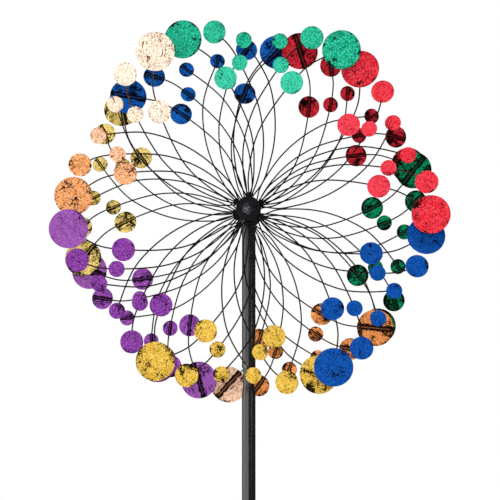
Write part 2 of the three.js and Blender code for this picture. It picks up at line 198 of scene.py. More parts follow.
def marked(pattern, rim=0.0, back=0.0, band=0.0, painted_highlight=0.0, tint=0.0):
    """A point's place in the pattern, how far out to the disc's rim it is, whether on the back, how
    far from the wire, how strong its painted highlight is, and how much of the arm's colour is on
    it: sprayed near a disc, and across the wire's own disc a painted highlight."""
    return (pattern, rim, back, band, painted_highlight, tint)


PLAIN = marked((0.0, 0.0, 0.0))


class Shape:
    """Points, faces and per-point marks of one piece, in millimetres."""

    def __init__(self):
        self.points = []
        self.marks = []
        self.faces = []
        self.slots = []

    def point(self, place, mark=None):
        self.points.append(Vector(place))
        self.marks.append(mark)
        return len(self.points) - 1

    def face(self, corners, slot=0):
        self.faces.append(corners)
        self.slots.append(slot)

    def skin(self, rings, slot=0, closed=False):
        """Joins rings of points. A ring of one point is a tip."""
        pairs = list(zip(rings, rings[1:]))
        if closed:
            pairs.append((rings[-1], rings[0]))
        for a, b in pairs:
            count = max(len(a), len(b))
            for i in range(count):
                j = (i + 1) % count
                if len(a) == 1:
                    self.face((a[0], b[j], b[i]), slot)
                elif len(b) == 1:
                    self.face((a[i], a[j], b[0]), slot)
                else:
                    self.face((a[i], a[j], b[j], b[i]), slot)

    def bar(self, rings, slot=0):
        """Joins rings of points and closes both ends."""
        self.skin(rings, slot)
        self.face(tuple(reversed(rings[0])), slot)
        self.face(tuple(rings[-1]), slot)


def moved(x, y, z):
    return Matrix.Translation((x, y, z))


def rotated(degrees, axis):
    return Matrix.Rotation(radians(degrees), 4, axis)


def circle(count):
    """Angles evenly round a full turn."""
    return [2 * pi * k / count for k in range(count)]


def turned(name, matrix, profile, sides, materials=("powder_coat",), closed=False):
    """Turns (radius, along) points about the matrix's Z axis. Either may be a function of the angle."""
    shape = Shape()
    rings = []
    for radius, along in profile:
        if not callable(radius) and radius < TINY:
            rings.append([shape.point(matrix @ Vector((0, 0, along)))])
            continue
        ring = []
        for angle in circle(sides):
            r = radius(angle) if callable(radius) else radius
            z = along(angle) if callable(along) else along
            ring.append(shape.point(matrix @ Vector((r * cos(angle), r * sin(angle), z))))
        rings.append(ring)
    shape.skin(rings, 0, closed)
    return make_object(name, shape, materials)


def tube(inner, outer, low, high):
    """The profile of a plain tube, or of a rod where inner is 0."""
    return [(inner, low), (outer, low), (outer, high), (inner, high)]


def eased(profile, radius, closed=True, steps=4):
    """The profile with each corner rounded off, by less than half of the shorter edge beside it."""
    most = 0.45
    result = []
    count = len(profile)
    for i, corner in enumerate(profile):
        if not closed and i in (0, count - 1):
            result.append(corner)
            continue
        here = Vector(corner)
        back = Vector(profile[i - 1]) - here
        on = Vector(profile[(i + 1) % count]) - here
        cut = min(radius, most * back.length, most * on.length)
        start = here + back.normalized() * cut
        end = here + on.normalized() * cut
        for k in range(steps + 1):
            t = k / steps
            point = start * (1 - t) ** 2 + here * (2 * t * (1 - t)) + end * t ** 2
            result.append((point.x, point.y))
    return result


def scene_object(name, data):
    obj = bpy.data.objects.new(name, data)
    bpy.context.scene.collection.objects.link(obj)
    return obj


def make_object(name, shape, materials):
    mesh = bpy.data.meshes.new(name)
    mesh.from_pydata([point * MM for point in shape.points], [], shape.faces)
    mesh.polygons.foreach_set("material_index", shape.slots)
    for material in materials:
        mesh.materials.append(FINISH[material])
    if shape.marks[0] is not None:
        pattern = mesh.attributes.new("pattern", "FLOAT_VECTOR", "POINT")
        pattern.data.foreach_set("vector", [value for mark in shape.marks for value in mark[0]])
        for k, key in enumerate(MARKS, start=1):
            values = mesh.attributes.new(key, "FLOAT", "POINT")
            values.data.foreach_set("value", [mark[k] for mark in shape.marks])
    turn_outwards(mesh)
    return scene_object(name, mesh)


def turn_outwards(mesh):
    work = bmesh.new()
    work.from_mesh(mesh)
    bmesh.ops.recalc_face_normals(work, faces=work.faces)
    work.to_mesh(mesh)
    work.free()


def combine(obj, others, operation):
    """Joins the others to obj, or cuts them from it, and removes them."""
    for other in others:
        step = obj.modifiers.new(operation.lower(), "BOOLEAN")
        step.operation = operation
        step.solver = "EXACT"
        step.object = other
    bpy.context.view_layer.update()
    graph = bpy.context.evaluated_depsgraph_get()
    mesh = bpy.data.meshes.new_from_object(obj.evaluated_get(graph), depsgraph=graph)
    obj.modifiers.clear()
    obj.data = mesh
    for other in others:
        bpy.data.objects.remove(other)


def add_piece(obj, node, body, crease=35):
    """Shades the finished mesh and puts it in the place of its CAD node."""
    obj.data.shade_smooth()
    obj.data.set_sharp_from_angle(angle=radians(crease))
    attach(obj, body)
    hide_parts(node)


def turned_piece(node, end, profile, sides, slot, crease=35, closed=True, body="stand"):
    obj = turned("fine_" + node, AXLE_FRAME[end], profile, sides, [slot], closed)
    add_piece(obj, node, body, crease)


def pin(name, matrix, radius, low, high, sides=24):
    """A plain rod, to cut a hole."""
    return turned(name, matrix, tube(0, radius, low, high), sides, [])


# ---- materials


def srgb(text):
    values = [int(text[i:i + 2], 16) / 255 for i in (1, 3, 5)]
    return (*[v / 12.92 if v <= 0.04045 else ((v + 0.055) / 1.055) ** 2.4 for v in values], 1)


class Graph:
    """A node material, with short calls for the nodes that the finishes share."""

    def __init__(self, name, metallic, specular=0.5):
        self.material = FINISH[name] = bpy.data.materials.new(name)
        self.material.use_nodes = True
        self.tree = self.material.node_tree
        self.tree.nodes.clear()
        self.shader = self.node("ShaderNodeBsdfPrincipled")
        self.shader.inputs["Metallic"].default_value = metallic
        self.shader.inputs["Specular IOR Level"].default_value = specular
        output = self.node("ShaderNodeOutputMaterial")
        self.tree.links.new(self.shader.outputs[0], output.inputs[0])

    def node(self, kind, inputs=None, **settings):
        node = self.tree.nodes.new(kind)
        for key, value in settings.items():
            setattr(node, key, value)
        for key, value in (inputs or {}).items():
            self.feed(node.inputs[key], value)
        return node

    def feed(self, socket, value):
        if isinstance(value, bpy.types.NodeSocket):
            self.tree.links.new(value, socket)
        else:
            socket.default_value = value

    def attribute(self, name, output="Fac"):
        return self.node("ShaderNodeAttribute", attribute_name=name).outputs[output]

    def place(self):
        return self.node("ShaderNodeTexCoord").outputs["Object"]

    def math(self, operation, a, b=0.0, clamp=False):
        return self.node("ShaderNodeMath", {0: a, 1: b}, operation=operation, use_clamp=clamp).outputs[0]

    def times(self, a, b):
        return self.math("MULTIPLY", a, b)

    def plus(self, a, b):
        return self.math("ADD", a, b)

    def minus(self, a, b, clamp=False):
        return self.math("SUBTRACT", a, b, clamp)

    def larger(self, a, b):
        return self.math("MAXIMUM", a, b)

    def stretch(self, vector, scale):
        return self.node("ShaderNodeVectorMath", {0: vector, 1: scale}, operation="MULTIPLY").outputs[0]

    def noise(self, vector, scale, detail=2.0, roughness=0.5):
        inputs = {"Vector": vector, "Scale": scale, "Detail": detail, "Roughness": roughness}
        return self.node("ShaderNodeTexNoise", inputs).outputs[0]

    def streaks(self, vector, scales, scale, detail, roughness):
        return self.noise(self.stretch(vector, scales), scale, detail, roughness)

    def step(self, value, low, high):
        inputs = {"Value": value, "From Min": low, "From Max": high}
        return self.node("ShaderNodeMapRange", inputs, interpolation_type="SMOOTHSTEP").outputs[0]

    def peaks(self, value, limit, gain, edge, amount):
        """Where the value is past a limit that falls as the amount rises."""
        threshold = limit - gain * amount
        return self.step(value, threshold, threshold + edge)

    def range(self, value, low, high):
        inputs = {"Value": value, "From Min": 0.3, "From Max": 0.7, "To Min": low, "To Max": high}
        return self.node("ShaderNodeMapRange", inputs).outputs[0]

    def mix(self, share, first, second):
        node = self.node("ShaderNodeMix", {0: share, 6: first, 7: second}, data_type="RGBA")
        return node.outputs[2]

    def finish(self, colour, roughness, height, bump_mm, strength=1.0):
        self.feed(self.shader.inputs["Base Color"], colour)
        self.feed(self.shader.inputs["Roughness"], roughness)
        inputs = {"Height": height, "Distance": bump_mm * MM, "Strength": strength}
        bump = self.node("ShaderNodeBump", inputs)
        self.feed(self.shader.inputs["Normal"], bump.outputs[0])
        return self.material


# Each paint's colours: base, light and deep grain, base and light grain on a disc's back ("behind" and
# "glint"), and the colour of a painted highlight, where a disc is painted as if lit by a reflection of
# the lamps. Then how strong each is: grain, black pits in front and on the back, the pits' patches,
# wear at the rim, scratches, and spray on the wires.
# The back colours ("behind", "glint") are partly the backs' own tone and partly painted shade and
# painted light: darker or lighter than the front's to make up for how much light the backs get.
PAINTS = {
    "green": dict(
        base="#04a07a", light="#4cd2ae", deep="#03553e", behind="#028a55", glint="#10a878",
        highlight_colour="#44ccaa", grain=0.65, pits=0.3, back_pits=1.5, patches=0.9, edge=1.2,
        scratches=0.4, spray=0.1),
    "red": dict(
        base="#d81e2c", light="#fa6472", deep="#800a16", behind="#c82030", glint="#e84858",
        highlight_colour="#ee4656", grain=0.5, pits=0.4, back_pits=1.3, patches=1.1, edge=0.7,
        scratches=0.3, spray=0.28),
    "blue": dict(
        base="#0848a0", light="#2a70c0", deep="#042654", behind="#1260c0", glint="#2478d0",
        highlight_colour="#2468b8", grain=0.4, pits=0.12, back_pits=0.9, patches=1.2, edge=0.3,
        scratches=0.45, spray=0.12),
    "gold": dict(
        base="#ecbe44", light="#ffe486", deep="#a4781a", behind="#ffe070", glint="#fff4c0",
        highlight_colour="#ffe9a0", grain=0.55, pits=0.9, back_pits=0.75, patches=0.9, edge=0.6,
        scratches=0.5, spray=0.12),
    "purple": dict(
        base="#80309c", light="#b06cc6", deep="#401050", behind="#8e3caa", glint="#b874c8",
        highlight_colour="#ab6cba", grain=0.5, pits=0.45, back_pits=0.5, patches=0.9, edge=0.35,
        scratches=0.5, spray=0.12),
    "copper": dict(
        base="#f29854", light="#ffdcb0", deep="#a05020", behind="#f6944a", glint="#ffc080",
        highlight_colour="#fff2dc", grain=0.65, pits=0.85, back_pits=1.1, patches=0.9, edge=0.55,
        scratches=0.4, spray=0.32),
}
BLACK = srgb("#080505")

# The disc paint's patterns: scale per millimetre, detail and roughness. The stretched ones begin with
# how they are scaled across the wire, along it and between discs.
CLOUD = (0.075, 2, 0.5)
GRAIN = (0.42, 3, 0.75)
SPECK = (0.30, 4, 0.8)
FLECK = (0.75, 2, 0.6)
PATCH = (0.055, 2, 0.5)
RAGGED = (0.16, 4, 0.7)
BRUSHED = ((0.9, 0.07, 1.0), 0.8, 2, 0.6)
SCRATCH = ((0.85, 0.09, 1.0), 0.6, 2, 0.5)
SCRATCHED = ((0.5, 0.5, 3.1), 0.13, 1, 0.5)
STREAK = ((0.55, 0.06, 1.0), 0.6, 3, 0.6)

# Where each starts to show, and where in full.
CLOUD_SHOWS = (0.44, 0.64)
LIGHT_GRAIN_SHOWS = (0.51, 0.56)
DEEP_GRAIN_SHOWS = (0.47, 0.41)
BRUSHED_SHOWS = (0.5, 0.62)
SCRATCH_SHOWS = (0.60, 0.65)
STREAK_SHOWS = (0.56, 0.61)
BAND_SHOWS = (1.35, 1.0)  # in half-widths of the dark band
STREAK_FADES = (6.5, 1.2)

# The limit of each kind of wear, how fast it falls with the amount, and how soft its edge is.
PIT_LIMIT = (0.71, 0.13, 0.03)
FLECK_LIMIT = (0.74, 0.15, 0.04)
SCRATCHED_LIMIT = (0.62, 0.12, 0.04)

# How strong each is.
# The cloud is weaker where a disc has a painted highlight.
CLOUD_DEPTH, CLOUD_LOST = 0.3, 0.25  # lost where pale
BRUSHED_DEPTH = 0.5
RIM_POWER, RIM_WEAR = 8.0, 0.14
# Backs have more black pits, and discs with a painted highlight fewer.
BACK_WEAR, HIGHLIGHT_WEAR = 0.12, 0.12
FLECKS_IN_PATCHES, FLECKS_AT_RIM = 0.3, 0.6
RAGGEDNESS = 3.0
# Pits under a painted highlight take the paint's deep tone, not black.
HIGHLIGHT_PITS = 0.6
BLACK_COVER, BLACK_ROUGHNESS = 0.99, 0.15
GRAIN_HEIGHT, BLACK_DEPTH = 0.6, 0.5


def paint_tone(g, paint, spot, grain, back, painted_highlight):
    """The paint's own colour: soft shadows, a light and a deep grain, and brushed streaks; on some
    discs a painted highlight over them.
    """
    deep = srgb(paint["deep"])
    tone = g.mix(back, srgb(paint["base"]), srgb(paint["behind"]))
    # Painted highlight: the tone is moved toward the highlight colour.
    tone = g.mix(painted_highlight, tone, srgb(paint["highlight_colour"]))
    depth = g.minus(CLOUD_DEPTH, g.times(painted_highlight, CLOUD_LOST))
    shadow = g.step(g.noise(spot, *CLOUD), *CLOUD_SHOWS)
    tone = g.mix(g.times(shadow, depth), tone, deep)
    light = g.mix(back, srgb(paint["light"]), srgb(paint["glint"]))
    # The light grain also takes on the painted highlight.
    light = g.mix(painted_highlight, light, srgb(paint["highlight_colour"]))
    tone = g.mix(g.times(g.step(grain, *LIGHT_GRAIN_SHOWS), paint["grain"]), tone, light)
    tone = g.mix(g.times(g.step(grain, *DEEP_GRAIN_SHOWS), paint["grain"]), tone, deep)
    brushed = g.step(g.streaks(spot, *BRUSHED), *BRUSHED_SHOWS)
    return g.mix(g.times(brushed, BRUSHED_DEPTH * paint["scratches"]), tone, deep)


def wear(g, paint, spot, rim, back, painted_highlight):
    """Where the black shows through: pits in patches and at the rim, finer flecks, and scratches."""
    patches = g.times(g.minus(g.noise(spot, *PATCH), 0.5), paint["patches"])
    edge = g.times(g.math("POWER", rim, RIM_POWER), RIM_WEAR * paint["edge"])
    worn = g.plus(g.plus(g.noise(spot, *SPECK), edge), patches)
    more = g.times(back, BACK_WEAR * (paint["back_pits"] - paint["pits"]))
    # Fewer pits where a disc has a painted highlight.
    worn = g.minus(g.plus(worn, more), g.times(painted_highlight, HIGHLIGHT_WEAR))
    black = g.peaks(worn, *PIT_LIMIT, paint["pits"])
    flecks = g.plus(g.noise(spot, *FLECK), g.times(patches, FLECKS_IN_PATCHES))
    flecks = g.plus(flecks, g.times(edge, FLECKS_AT_RIM))
    black = g.larger(black, g.peaks(flecks, *FLECK_LIMIT, paint["pits"]))
    lines = g.step(g.streaks(spot, *SCRATCH), *SCRATCH_SHOWS)
    here = g.peaks(g.streaks(spot, *SCRATCHED), *SCRATCHED_LIMIT, paint["scratches"])
    return g.larger(black, g.times(lines, here))


def black_beside_wire(g, spot, back, band):
    """On a disc's back, a ragged dark band on each side of the wire, and streaks along it."""
    away = g.math("ABSOLUTE", band)
    ragged = g.times(g.minus(g.noise(spot, *RAGGED), 0.5), RAGGEDNESS)
    shade = g.times(g.step(g.plus(away, ragged), *BAND_SHOWS), back)
    streak = g.step(g.streaks(spot, *STREAK), *STREAK_SHOWS)
    streak = g.times(g.times(streak, g.step(away, *STREAK_FADES)), back)
    return g.larger(shade, streak)


def disc_paint(colour):
    """Distressed metallic paint over black, with a painted highlight on some discs. Under a painted
    highlight the pits show the paint's deep tone.
    """
    paint = PAINTS[colour]
    g = Graph("paint_" + colour, metallic=0.1, specular=0.03)
    spot = g.attribute("pattern", "Vector")
    rim, back, band, painted_highlight = (g.attribute(key) for key in ("rim", "back", "band", "painted_highlight"))
    grain = g.noise(spot, *GRAIN)
    tone = paint_tone(g, paint, spot, grain, back, painted_highlight)
    # Black along both sides of the wire on a disc's back.
    wire_band_black = black_beside_wire(g, spot, back, band)
    black = g.larger(wear(g, paint, spot, rim, back, painted_highlight), wire_band_black)
    highlight_pit_share = g.times(g.minus(painted_highlight, wire_band_black, clamp=True), HIGHLIGHT_PITS)
    pit = g.mix(highlight_pit_share, BLACK, srgb(paint["deep"]))
    tone = g.mix(g.times(black, BLACK_COVER), tone, pit)
    roughness = g.plus(g.range(grain, 0.46, 0.6), g.times(black, BLACK_ROUGHNESS))
    raised = g.times(grain, GRAIN_HEIGHT)
    height = g.minus(raised, g.times(black, BLACK_DEPTH))
    return g.finish(tone, roughness, height, bump_mm=0.3, strength=0.7)


MIST = (0.35, 3, 0.7)
MIST_COVERS = (0.05, 0.45)
WIRE_DUST = 0.3


def wire_paint(colour):
    """Black wire with a little of the arm's colour sprayed over it near its discs, and more across its
    own discs, where the colour is a painted highlight tinted by the disc.
    """
    g = Graph("wire_" + colour, metallic=0.1, specular=0.15)
    tint = g.attribute("tint")
    mist = g.noise(g.attribute("pattern", "Vector"), *MIST)
    dust = g.times(g.step(mist, 0.5, 0.7), WIRE_DUST)
    dust = g.mix(dust, srgb("#050405"), srgb("#1a1819"))
    cover = g.times(tint, g.range(mist, *MIST_COVERS))
    tone = g.mix(cover, dust, srgb(PAINTS[colour]["behind"]))
    return g.finish(tone, g.range(mist, 0.3, 0.48), mist, bump_mm=0.03, strength=0.5)


DUST_MM, GRIT_MM = 14, 0.7
STAIN_MM, TOOL_MARK_MM = 6, 1.2
GRIT_HEIGHT = 0.3


def coated(name, base, dusty, specular, rough, peel, metallic=0.0):
    """A black finish with an orange peel of a given height and size, fine dust and slight wear."""
    g = Graph(name, metallic, specular)
    spot = g.place()
    height, size = peel
    skin = g.noise(spot, 1 / (size * MM), 2, 0.55)
    dust = g.noise(spot, 1 / (DUST_MM * MM), 4, 0.7)
    grit = g.noise(spot, 1 / (GRIT_MM * MM), 2, 0.6)
    share = g.times(g.step(dust, 0.48, 0.72), g.range(grit, 0.3, 0.9))
    tone = g.mix(share, srgb(base), srgb(dusty))
    bumps = g.plus(skin, g.times(grit, GRIT_HEIGHT))
    return g.finish(tone, g.range(dust, *rough), bumps, height)


def plated(name, base, shade, rough):
    """Turned or plated steel: faint rings of tool marks, stains and a fine grain."""
    g = Graph(name, metallic=1.0)
    spot = g.place()
    stain = g.noise(spot, 1 / (STAIN_MM * MM), 3, 0.6)
    grain = g.noise(g.stretch(spot, (1.0, 1.0, 6.0)), 1 / (TOOL_MARK_MM * MM), 2, 0.6)
    tone = g.mix(g.step(stain, 0.4, 0.7), srgb(base), srgb(shade))
    return g.finish(tone, g.range(grain, *rough), grain, bump_mm=0.03)


for each in PAINTS:
    disc_paint(each)
for each in PAINTS:
    wire_paint(each)
coated("powder_coat", "#0b0a0c", "#1c1a1d", 0.9, rough=(0.22, 0.32), peel=(0.02, 1.4))
coated("hub_paint", "#0e0e10", "#222123", 0.4, rough=(0.42, 0.58), peel=(0.04, 1.1))
coated("cap_plastic", "#09070a", "#1f1b1c", 0.15, rough=(0.45, 0.65), peel=(0.08, 1.6))
coated("black_steel", "#48444a", "#8c888c", 0.5, rough=(0.15, 0.3), peel=(0.08, 1.3), metallic=0.85)
plated("zinc", "#b4b4b0", "#8d8c86", rough=(0.26, 0.42))
plated("bearing_steel", "#c4c6c8", "#a2a3a5", rough=(0.16, 0.3))

# ---- stand

UPRIGHT = Matrix.Identity(4)
QUARTER_TURN = rotated(90, "X")
AT_HUB = moved(0, 0, HUB_HEIGHT)
FACING = {"front": UPRIGHT, "rear": rotated(180, "Z")}
AXLE_FRAME = {end: turn @ (AT_HUB @ QUARTER_TURN) for end, turn in FACING.items()}


def pole_pin_frame(height, direction):
    """A frame with Z pointing out of the pole."""
    return moved(0, 0, height) @ rotated(direction, "Z") @ QUARTER_TURN


def screw_holes(names):
    """Rods that cut each screw's hole in one side of the pole."""
    places = [pole_pin_frame(*POLE_SCREWS[name]) for name in names]
    return [pin("hole", place, SCREW_HOLE_R, SCREW_HOLE_FROM, POLE_R + 2) for place in places]


def pole_tube(name, profile, screws):
    obj = turned("fine_" + name, UPRIGHT, profile, 72, closed=True)
    combine(obj, screw_holes(screws), "DIFFERENCE")
    add_piece(obj, name, "stand")


def pole_section(name, screws):
    """A tube whose top is swaged down to a neck that enters the next section."""
    low, high = (corner.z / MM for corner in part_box(name))
    neck_from = high - NECK_LENGTH + SHOULDER_SHIFT
    inner = POLE_R - POLE_WALL
    neck_inner = NECK_R - NECK_WALL
    outline = [(inner, low), (POLE_R, low)]
    for k in range(9):
        t = k / 8
        ease = t * t * (3 - 2 * t)
        outline.append((POLE_R + (NECK_R - POLE_R) * ease, neck_from - SHOULDER + SHOULDER * t))
    outline += [(NECK_R, high), (neck_inner, high), (neck_inner, neck_from - 2),
                (inner, neck_from - SHOULDER - 2)]
    pole_tube(name, eased(outline, 0.35), screws)


def upper_pole():
    low, high = (corner.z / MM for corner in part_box("upper_pole"))
    outline = tube(POLE_R - POLE_WALL, POLE_R, low, high)
    pole_tube("upper_pole", eased(outline, 0.4), ["upper_joint_screw", "head_screw"])


def climb(edge):
    return abs(edge.verts[0].co.z - edge.verts[1].co.z)


def step_bar():
    """A flat bar with rounded corners and softened edges."""
    length, width, thickness = STEP_BAR
    work = bmesh.new()
    bmesh.ops.create_cube(work, size=1)
    for vertex in work.verts:
        x, y, z = vertex.co
        vertex.co = Vector((x * length, y * width, (z + 0.5) * thickness)) * MM
    upright = [edge for edge in work.edges if climb(edge) > thickness * MM / 2]
    bmesh.ops.bevel(work, geom=upright, offset=5 * MM, segments=6, affect="EDGES", profile=0.5)
    lying = [edge for edge in work.edges if climb(edge) < 0.1 * MM]
    bmesh.ops.bevel(work, geom=lying, offset=0.7 * MM, segments=2, affect="EDGES", profile=0.5)
    mesh = bpy.data.meshes.new("fine_ground_stake")
    work.to_mesh(mesh)
    work.free()
    mesh.materials.append(FINISH["powder_coat"])
    return scene_object("fine_ground_stake", mesh)


def stake_post():
    """The post that enters the pole, its collar and its weld to the bar."""
    bar_top = STEP_BAR[2]
    outline = [(0, 1), (POLE_R + 2.5, 1), (POLE_R + 2.5, bar_top), (POLE_R + 0.9, bar_top + 1),
               (POLE_R, bar_top + 2.6), (POLE_R, STOP_COLLAR_TOP), (NECK_R, STOP_COLLAR_TOP),
               (NECK_R, STAKE_POST_TOP - 3), (NECK_R - 3, STAKE_POST_TOP), (0, STAKE_POST_TOP)]
    return turned("post", UPRIGHT, eased(outline, 0.5, closed=False), 64)


def prong(across, radius, reach):
    """A round spike with a blunt point and a weld under the bar."""
    outline = [(0, -reach), (radius * 0.22, -reach + 0.4), (radius * 0.3, -reach + 1.2),
               (radius * 0.94, -reach + 33), (radius, -reach + 38), (radius, -4.5),
               (radius + 0.9, -1.4), (radius + 2.2, 0.3), (radius + 2.2, 3), (0, 3)]
    return turned("prong", moved(across, 0, 0), eased(outline, 1.0, closed=False), 32)


def ground_stake():
    bar = step_bar()
    combine(bar, [stake_post(), *[prong(*size) for size in PRONGS]], "UNION")
    combine(bar, screw_holes(["stake_screw"]), "DIFFERENCE")
    add_piece(bar, "ground_stake", "stand")


def weld_bead():
    """A rippled bead where the spigot's side meets the barrel."""
    steps, ripples, sides = 96, 19, 8
    bead = Shape()
    rings = []
    for i, angle in enumerate(circle(steps)):
        uneven = 0.12 * noise.noise(Vector((i * 0.31, 4.2, 0)))
        size = 1.15 + 0.22 * sin(angle * ripples) + uneven
        foot = Vector((NECK_R * cos(angle), NECK_R * sin(angle), 0))
        foot.z = HUB_HEIGHT - sqrt(BARREL_R ** 2 - foot.x ** 2) - 0.2
        out = Vector((cos(angle), sin(angle), 0))
        ring = []
        for a in circle(sides):
            ring.append(bead.point(foot + (out * cos(a) + Vector((0, 0, sin(a)))) * size))
        rings.append(ring)
    bead.skin(rings, 0, closed=True)
    return make_object("bead", bead, ["powder_coat"])


def head_tee():
    """The barrel for the axle, the spigot that enters the pole, and the weld bead between them."""
    along = AXLE_FRAME["front"]
    outline = tube(0, BARREL_R, -BARREL_END, BARREL_END)
    obj = turned("fine_head_tee", along, eased(outline, 0.8, closed=False), 64)
    bottom = HUB_HEIGHT - SPIGOT_LENGTH
    outline = [(0, bottom), (NECK_R - 2, bottom), (NECK_R, bottom + 3), (NECK_R, HUB_HEIGHT),
               (0, HUB_HEIGHT)]
    spigot = turned("spigot", UPRIGHT, eased(outline, 0.6, closed=False), 64)
    combine(obj, [spigot], "UNION")
    bore = pin("bore", along, BORE_R, -BARREL_END - 1, BARREL_END + 1, 48)
    combine(obj, [*screw_holes(["head_screw"]), bore], "DIFFERENCE")
    combine(obj, [weld_bead()], "UNION")
    add_piece(obj, "head_tee", "stand")


def thread(radius, depth, pitch, height, limit=inf):
    """A thread's radius at a height, as a function of the angle."""
    def at(angle):
        turn = (height / pitch - angle / (2 * pi)) % 1
        return min(radius - depth * abs(2 * turn - 1), limit)
    return at


def screw_outline(head_r, head_from, head_height, tip):
    """A pan head, a thread and a blunt tip, from the top down."""
    outline = [(0, head_from + head_height)]
    for k in range(1, 7):
        angle = k / 6 * pi / 2
        rise = head_height * (0.45 + 0.55 * cos(angle))
        outline.append((head_r * sin(angle), head_from + rise))
    outline += [(head_r, head_from + 0.15), (head_r - 0.15, head_from), (SCREW_R, head_from)]
    steps = int((head_from - tip - 1.2) / (SCREW_PITCH / 3))
    for k in range(1, steps):
        height = head_from - k * SCREW_PITCH / 3
        outline.append((thread(SCREW_R, SCREW_THREAD, SCREW_PITCH, height), height))
    return [*outline, (SCREW_R * 0.7, tip + 0.5), (0, tip)]


def cross_recess(top, drive):
    """Two tapered blades, to cut a cross into a screw's head."""
    thin = 0.28
    blades = []
    for across, thick in ((drive, thin), (thin, drive)):
        blade = Shape()
        corners = [(-across, -thick), (across, -thick), (across, thick), (-across, thick)]
        low = [blade.point((x * 0.55, y * 0.75, top - 1.1)) for x, y in corners]
        high = [blade.point((x, y, top + 0.5)) for x, y in corners]
        blade.bar([low, high])
        blades.append(make_object("blade", blade, ["zinc"]))
    return blades


def screw_mesh(name, head_r, head_from, head_height, tip, drive):
    """A pan-head screw with a cross recess and a thread, pointing out along Z."""
    outline = screw_outline(head_r, head_from, head_height, tip)
    obj = turned(name, UPRIGHT, outline, 24, ["zinc"])
    combine(obj, cross_recess(head_from + head_height, drive), "DIFFERENCE")
    mesh = obj.data
    bpy.data.objects.remove(obj)
    return mesh


def add_screw(mesh, node, matrix, body):
    placed = mesh.copy()
    placed.transform(Matrix.Scale(MM, 4) @ matrix @ Matrix.Scale(1 / MM, 4))
    add_piece(scene_object("fine_" + node, placed), node, body)


def pole_screws():
    mesh = screw_mesh("pole_screw", 3.2, POLE_R + GAP, head_height=2.2, tip=5.5, drive=1.7)
    for name, (height, direction) in POLE_SCREWS.items():
        add_screw(mesh, name, pole_pin_frame(height, direction), "stand")


# ---- axle and what it clamps


def station(node):
    """Where a front piece starts and ends along the axle, outwards from the pole."""
    low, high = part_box(node)
    return -high.y / MM, -low.y / MM


def axle():
    """A threaded rod with chamfered ends."""
    outline = [(0, -AXLE_END), (AXLE_TIP_R, -AXLE_END)]
    steps = int((2 * AXLE_END - 1) / (AXLE_PITCH / 4))
    for k in range(1, steps):
        height = -AXLE_END + 0.5 + k * AXLE_PITCH / 4
        limit = AXLE_TIP_R + (AXLE_END - abs(height))
        outline.append((thread(AXLE_R, AXLE_THREAD, AXLE_PITCH, height, limit), height))
    outline += [(AXLE_TIP_R, AXLE_END), (0, AXLE_END)]
    turned_piece("axle", "front", outline, 32, "black_steel", crease=70, closed=False)


def hex_radius(angle):
    """Distance to the side of the nut's hexagon in a direction."""
    return NUT_FLATS / 2 / cos((angle + pi / 6) % (pi / 3) - pi / 6)


def nut_chamfer(angle):
    return max(0.0, hex_radius(angle) - NUT_FLATS / 2 + NUT_CHAMFER) * tan(radians(30))


def hexagon(low, high):
    """The outside of a nut, chamfered at both ends."""
    return [(NUT_FACE_R, low), (hex_radius, lambda a: low + nut_chamfer(a)),
            (hex_radius, lambda a: high - nut_chamfer(a)), (NUT_FACE_R, high)]


def nut(end, node, low, high):
    ease = 0.6
    outline = [(BORE_R, low + ease), (BORE_R + ease, low), *hexagon(low, high),
               (BORE_R + ease, high), (BORE_R, high - ease)]
    turned_piece(node, end, outline, 72, "black_steel", crease=20)


def cap_nut(end, node, low, high):
    """A hexagon with a dome over the axle's end."""
    hex_top = low + 5
    dome_r = NUT_FLATS / 2 - 1
    dome_from = hex_top + 0.2
    outline = [(0, AXLE_END + GAP), (BORE_R, AXLE_END + GAP), (BORE_R, low + 0.5), (BORE_R + 0.5, low),
               *hexagon(low, hex_top), (dome_r + 0.3, hex_top + 0.1)]
    for k in range(10):
        angle = k / 10 * pi / 2
        outline.append((dome_r * cos(angle), dome_from + (high - dome_from) * sin(angle)))
    outline.append((0, high))
    turned_piece(node, end, outline, 72, "black_steel", crease=20, closed=False)


def washer(end, node, low, high):
    turned_piece(node, end, eased(tube(BORE_R, WASHER_R, low, high), 0.25), 56, "zinc")


def cap(end, node, rim, face):
    """A shallow cup with a rounded edge, a raised ring round the nut and a shallow groove."""
    plate = face - CAP_WALL
    inside = CAP_R - CAP_WALL
    round_r, edge_drop = 2.5, 0.25
    outline = [(BORE_R, plate), (inside - 2, plate), (inside, plate - 2), (inside, rim), (CAP_R, rim)]
    for k in range(9):
        angle = k / 8 * pi / 2
        outline.append((CAP_R - round_r + round_r * cos(angle),
                        face - round_r + round_r * sin(angle) - edge_drop))
    outline += [(14.6, face - 0.2), (14.2, face - 0.5), (13.6, face - 0.5), (13.2, face - 0.15),
                (11.6, face - 0.1), (11.2, face), (BORE_R, face)]
    turned_piece(node, end, eased(outline, 0.2, steps=2), 96, "cap_plastic")


def axle_end(end):
    for part, make in (("jam_nut", nut), ("inner_washer", washer), ("outer_washer", washer),
                       ("lock_nut", nut), ("cap", cap), ("cap_nut", cap_nut)):
        make(end, f"{end}_{part}", *station("front_" + part))


# ---- wheels


def bearing(end, which):
    """A shielded ball bearing: inner ring, recessed shield and outer ring in one closed section."""
    node = f"{end}_{which}_bearing"
    low, high = station(f"front_{which}_bearing")
    inner, outer, depth = SHIELD
    sunk, risen = low + depth, high - depth
    outline = [(BORE_R, low), (inner, low), (inner, sunk), (outer, sunk), (outer, low), (BEARING_R, low),
               (BEARING_R, high), (outer, high), (outer, risen), (inner, risen), (inner, high),
               (BORE_R, high)]
    profile = eased(outline, 0.25, steps=3)
    turned_piece(node, end, profile, 64, "bearing_steel", body=end + "_wheel")


